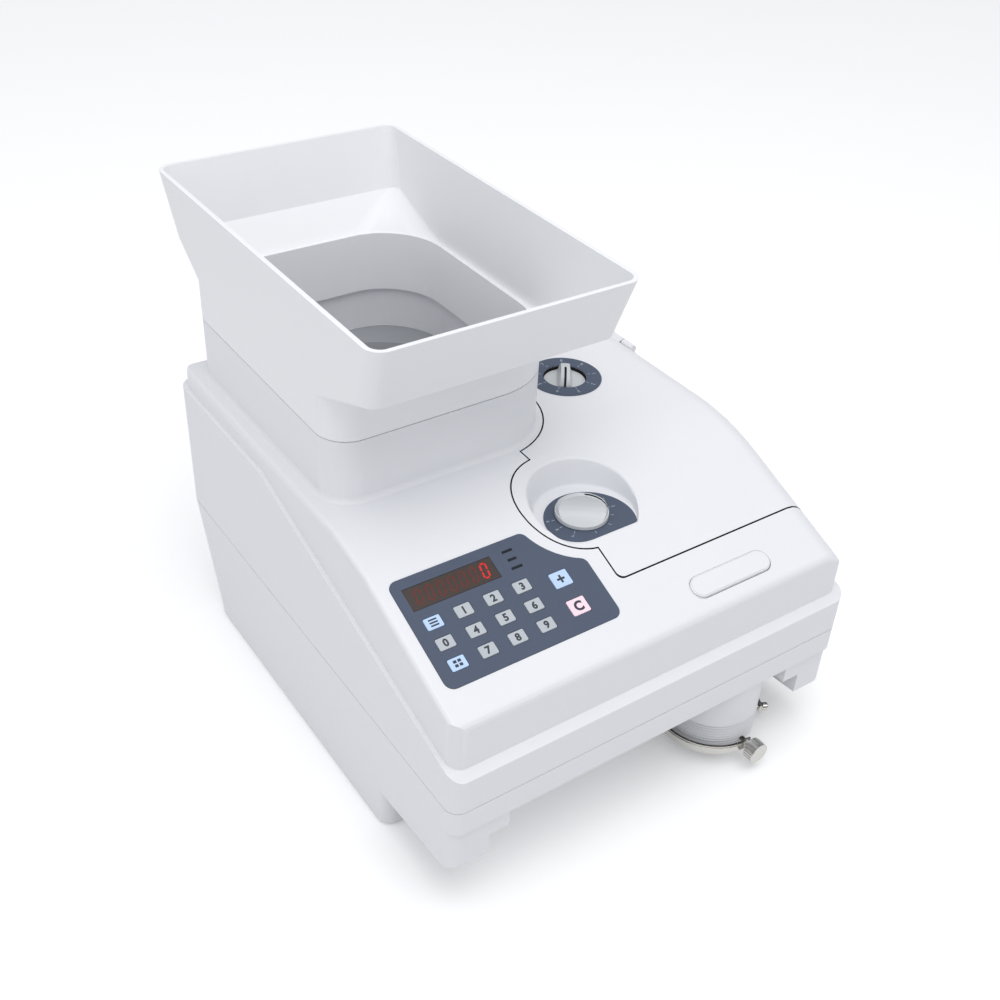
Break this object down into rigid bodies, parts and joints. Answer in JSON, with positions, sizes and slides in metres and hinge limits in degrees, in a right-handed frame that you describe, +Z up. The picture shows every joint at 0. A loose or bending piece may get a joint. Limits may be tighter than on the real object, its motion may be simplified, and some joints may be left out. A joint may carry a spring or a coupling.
{
  "type": "coin counting machine",
  "caption": "Counter-top coin counter: wedge housing with lift-off hopper, swing-up cover with two setting dials, keypad with display, start button and bag tube with clamp ring under the front",
  "frame": {"origin": "on the floor, under the middle of the machine's outline", "axes": "+X to the operator's right, +Y to the back, +Z up"},
  "size_m": [0.265, 0.3437, 0.283],
  "materials": {
    "white_plastic": "satin moulded",
    "grey_plastic": "satin moulded",
    "slate_panel": "printed film",
    "smoked_window": "smoked red",
    "led_module": "moulded",
    "grey_keys": "matte",
    "blue_keys": "matte",
    "pink_key": "matte",
    "circuit_board": "lacquered",
    "black_plastic": "moulded",
    "black_rubber": "matte",
    "nickel": "nickel plated",
    "bright_steel": "turned",
    "plated_sheet": "zinc plated",
    "inner_plastic": "moulded",
    "motor_paint": "painted",
    "bronze": "sintered"
  },
  "bodies": {
    "root": {"base_shell": "white_plastic", "top_cover": "white_plastic", "outlet_tube": "white_plastic", "keypad_panel": "slate_panel", "display_window": "smoked_window", "display_module": "led_module", "keypad_board": "circuit_board", "main_board": "circuit_board", "start_switch": "black_plastic", "count_sensor": "black_plastic", "power_inlet": "black_plastic", "switch_frame": "black_plastic", "rubber_feet": "black_rubber", "drive_belt": "black_rubber", "transport_belt": "black_rubber", "bag_ring": "nickel", "ring_pin": "nickel", "base_screws": "bright_steel", "hinge_pins": "bright_steel", "coin_rails": "bright_steel", "deck_plate": "plated_sheet", "deck_posts": "plated_sheet", "bearing_bridge": "plated_sheet", "motor_bracket": "plated_sheet", "roller_bracket": "plated_sheet", "power_supply": "plated_sheet", "coin_chute": "inner_plastic", "disc_bowl": "inner_plastic", "drive_motor": "motor_paint", "bearing_bush": "bronze"},
    "access_cover": {"access_cover": "white_plastic", "thickness_plate": "slate_panel", "diameter_plate": "slate_panel"},
    "thickness_knob": {"thickness_knob": "grey_plastic"},
    "diameter_knob": {"diameter_knob": "grey_plastic"},
    "hopper": {"hopper_tray": "white_plastic"},
    "start_button": {"start_button": "white_plastic"},
    "feed_disc": {"feed_disc": "inner_plastic", "disc_shaft": "bright_steel", "disc_pulley": "inner_plastic"},
    "motor_pulley": {"motor_pulley": "inner_plastic"},
    "drive_roller": {"drive_roller": "bright_steel"},
    "idler_roller": {"idler_roller": "bright_steel"},
    "ring_thumbscrew": {"ring_thumbscrew": "nickel"},
    "switch_rocker": {"switch_rocker": "black_plastic"},
    "key_0": {"key_0": "grey_keys"},
    "key_1": {"key_1": "grey_keys"},
    "key_2": {"key_2": "grey_keys"},
    "key_3": {"key_3": "grey_keys"},
    "key_4": {"key_4": "grey_keys"},
    "key_5": {"key_5": "grey_keys"},
    "key_6": {"key_6": "grey_keys"},
    "key_7": {"key_7": "grey_keys"},
    "key_8": {"key_8": "grey_keys"},
    "key_9": {"key_9": "grey_keys"},
    "key_memory": {"key_memory": "blue_keys"},
    "key_batch": {"key_batch": "blue_keys"},
    "key_add": {"key_add": "blue_keys"},
    "key_clear": {"key_clear": "pink_key"}
  },
  "joints": [
    {"name": "cover_swing", "type": "hinge", "parent": "root", "child": "access_cover", "pos_m": [0.13, 0.05485, 0.161], "axis": [0, 1, 0], "range_deg": [0, 24]},
    {"name": "thickness_turn", "type": "hinge", "parent": "access_cover", "child": "thickness_knob", "pos_m": [0.0005, -0.07665, 0.155], "axis": [0, 0, 1], "range_deg": [-120, 120]},
    {"name": "diameter_turn", "type": "hinge", "parent": "access_cover", "child": "diameter_knob", "pos_m": [0.062, 0.02285, 0.164], "axis": [0, 0, 1], "range_deg": [-140, 140]},
    {"name": "hopper_lift", "type": "slide", "parent": "root", "child": "hopper", "axis": [0, 0, 1], "range_m": [0, 0.06]},
    {"name": "start_press", "type": "slide", "parent": "root", "child": "start_button", "axis": [0, 0.3714, -0.9285], "range_m": [0, 0.002], "stiffness_N_per_m": 400, "springref_m": -0.0005},
    {"name": "disc_spin", "type": "hinge", "parent": "root", "child": "feed_disc", "pos_m": [-0.047, 0.05935, 0.145], "axis": [0, 0, 1], "continuous": true},
    {"name": "motor_spin", "type": "hinge", "parent": "root", "child": "motor_pulley", "pos_m": [0.068, 0.04485, 0.11], "axis": [0, 0, 1], "continuous": true},
    {"name": "drive_roller_spin", "type": "hinge", "parent": "root", "child": "drive_roller", "pos_m": [0.071, -0.06815, 0.1526], "axis": [1, 0, 0], "continuous": true},
    {"name": "idler_roller_spin", "type": "hinge", "parent": "root", "child": "idler_roller", "pos_m": [0.071, -0.01015, 0.1526], "axis": [1, 0, 0], "continuous": true},
    {"name": "thumbscrew_turn", "type": "hinge", "parent": "root", "child": "ring_thumbscrew", "pos_m": [0.071, -0.12915, 0.013], "axis": [0.0349, -0.9994, 0], "continuous": true},
    {"name": "rocker_flip", "type": "hinge", "parent": "root", "child": "switch_rocker", "pos_m": [0.091, 0.12785, 0.036], "axis": [1, 0, 0], "range_deg": [-16, 0]},
    {"name": "key_0_press", "type": "slide", "parent": "root", "child": "key_0", "axis": [0, 0.3714, -0.9285], "range_m": [0, 0.0005], "stiffness_N_per_m": 300, "springref_m": -0.0002},
    {"name": "key_1_press", "type": "slide", "parent": "root", "child": "key_1", "axis": [0, 0.3714, -0.9285], "range_m": [0, 0.0005], "stiffness_N_per_m": 300, "springref_m": -0.0002},
    {"name": "key_2_press", "type": "slide", "parent": "root", "child": "key_2", "axis": [0, 0.3714, -0.9285], "range_m": [0, 0.0005], "stiffness_N_per_m": 300, "springref_m": -0.0002},
    {"name": "key_3_press", "type": "slide", "parent": "root", "child": "key_3", "axis": [0, 0.3714, -0.9285], "range_m": [0, 0.0005], "stiffness_N_per_m": 300, "springref_m": -0.0002},
    {"name": "key_4_press", "type": "slide", "parent": "root", "child": "key_4", "axis": [0, 0.3714, -0.9285], "range_m": [0, 0.0005], "stiffness_N_per_m": 300, "springref_m": -0.0002},
    {"name": "key_5_press", "type": "slide", "parent": "root", "child": "key_5", "axis": [0, 0.3714, -0.9285], "range_m": [0, 0.0005], "stiffness_N_per_m": 300, "springref_m": -0.0002},
    {"name": "key_6_press", "type": "slide", "parent": "root", "child": "key_6", "axis": [0, 0.3714, -0.9285], "range_m": [0, 0.0005], "stiffness_N_per_m": 300, "springref_m": -0.0002},
    {"name": "key_7_press", "type": "slide", "parent": "root", "child": "key_7", "axis": [0, 0.3714, -0.9285], "range_m": [0, 0.0005], "stiffness_N_per_m": 300, "springref_m": -0.0002},
    {"name": "key_8_press", "type": "slide", "parent": "root", "child": "key_8", "axis": [0, 0.3714, -0.9285], "range_m": [0, 0.0005], "stiffness_N_per_m": 300, "springref_m": -0.0002},
    {"name": "key_9_press", "type": "slide", "parent": "root", "child": "key_9", "axis": [0, 0.3714, -0.9285], "range_m": [0, 0.0005], "stiffness_N_per_m": 300, "springref_m": -0.0002},
    {"name": "key_memory_press", "type": "slide", "parent": "root", "child": "key_memory", "axis": [0, 0.3714, -0.9285], "range_m": [0, 0.0005], "stiffness_N_per_m": 300, "springref_m": -0.0002},
    {"name": "key_batch_press", "type": "slide", "parent": "root", "child": "key_batch", "axis": [0, 0.3714, -0.9285], "range_m": [0, 0.0005], "stiffness_N_per_m": 300, "springref_m": -0.0002},
    {"name": "key_add_press", "type": "slide", "parent": "root", "child": "key_add", "axis": [0, 0.3714, -0.9285], "range_m": [0, 0.0005], "stiffness_N_per_m": 300, "springref_m": -0.0002},
    {"name": "key_clear_press", "type": "slide", "parent": "root", "child": "key_clear", "axis": [0, 0.3714, -0.9285], "range_m": [0, 0.0005], "stiffness_N_per_m": 300, "springref_m": -0.0002}
  ],
  "couplings": [
    {"joint": "motor_spin", "follows": "disc_spin", "ratio": 3.5},
    {"joint": "drive_roller_spin", "follows": "disc_spin", "ratio": 12},
    {"joint": "idler_roller_spin", "follows": "disc_spin", "ratio": 12}
  ]
}
